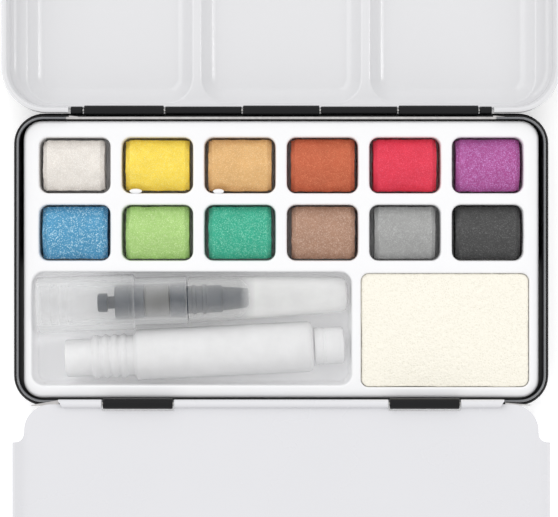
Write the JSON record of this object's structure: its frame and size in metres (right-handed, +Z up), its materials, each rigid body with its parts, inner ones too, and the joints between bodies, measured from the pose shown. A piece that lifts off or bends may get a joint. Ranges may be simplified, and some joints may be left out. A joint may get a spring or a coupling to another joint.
{
  "type": "watercolor pan set",
  "caption": "Pocket watercolour tin lying open: shimmering pan colours in a white tray, sponge and two-part water brush, hinged lid with mixing wells behind, folding mixing flap in front",
  "frame": {"origin": "centre of the underside of the base tin, on the table", "axes": "+X to the right along the tin's long side, +Y to the rear towards the lid, +Z up"},
  "size_m": [0.142, 0.2219, 0.0179],
  "materials": {
    "lacquer_black": "gloss lacquer",
    "enamel_white": "gloss enamel",
    "enamel_flap": "gloss enamel",
    "pin_steel": "drawn wire",
    "tray_plastic": "vacuum-formed sheet",
    "colour_pearl": "pearl pigment cake",
    "colour_yellow": "pearl pigment cake",
    "colour_gold": "pearl pigment cake",
    "colour_copper": "pearl pigment cake",
    "colour_red": "pearl pigment cake",
    "colour_violet": "pearl pigment cake",
    "colour_blue": "pearl pigment cake",
    "colour_lime": "pearl pigment cake",
    "colour_green": "pearl pigment cake",
    "colour_bronze": "pearl pigment cake",
    "colour_silver": "pearl pigment cake",
    "colour_black": "pearl pigment cake",
    "foam": "fine open foam",
    "clear_plastic": "clear moulding",
    "slate_plastic": "moulded",
    "wick_foam": "felted foam",
    "nylon": "nylon bristle",
    "cap_plastic": "translucent moulding",
    "frosted_plastic": "frosted moulding"
  },
  "bodies": {
    "base": {"base_tin": "lacquer_black", "rear_hinge_pin": "pin_steel", "front_hinge_pin": "pin_steel"},
    "lid": {"lid": "enamel_white"},
    "flap": {"flap": "enamel_flap"},
    "tray": {"tray": "tray_plastic", "paint_pearl": "colour_pearl", "paint_yellow": "colour_yellow", "paint_gold": "colour_gold", "paint_copper": "colour_copper", "paint_red": "colour_red", "paint_violet": "colour_violet", "paint_blue": "colour_blue", "paint_lime": "colour_lime", "paint_green": "colour_green", "paint_bronze": "colour_bronze", "paint_silver": "colour_silver", "paint_black": "colour_black"},
    "sponge": {"sponge": "foam"},
    "brush_head": {"brush_socket": "clear_plastic", "brush_feed": "slate_plastic", "brush_wick": "wick_foam", "brush_ferrule": "slate_plastic", "brush_bristles": "nylon", "brush_cap": "cap_plastic"},
    "barrel": {"barrel": "frosted_plastic", "barrel_plug": "frosted_plastic"}
  },
  "joints": [
    {"name": "lid_hinge", "type": "hinge", "parent": "base", "child": "lid", "pos_m": [0, 0.0378, 0.013], "axis": [-1, 0, 0], "range_deg": [-180, 0]},
    {"name": "flap_hinge", "type": "hinge", "parent": "base", "child": "flap", "pos_m": [0, -0.0364, 0.0165], "axis": [1, 0, 0], "range_deg": [-180, 0]},
    {"name": "tray_lift", "type": "slide", "parent": "base", "child": "tray", "axis": [0, 0, 1], "range_m": [0, 0.04]},
    {"name": "sponge_lift", "type": "slide", "parent": "tray", "child": "sponge", "axis": [0, 0, 1], "range_m": [0, 0.04]},
    {"name": "brush_head_lift", "type": "slide", "parent": "tray", "child": "brush_head", "axis": [0, 0, 1], "range_m": [0, 0.04]},
    {"name": "barrel_lift", "type": "slide", "parent": "tray", "child": "barrel", "axis": [0, 0, 1], "range_m": [0, 0.04]}
  ]
}
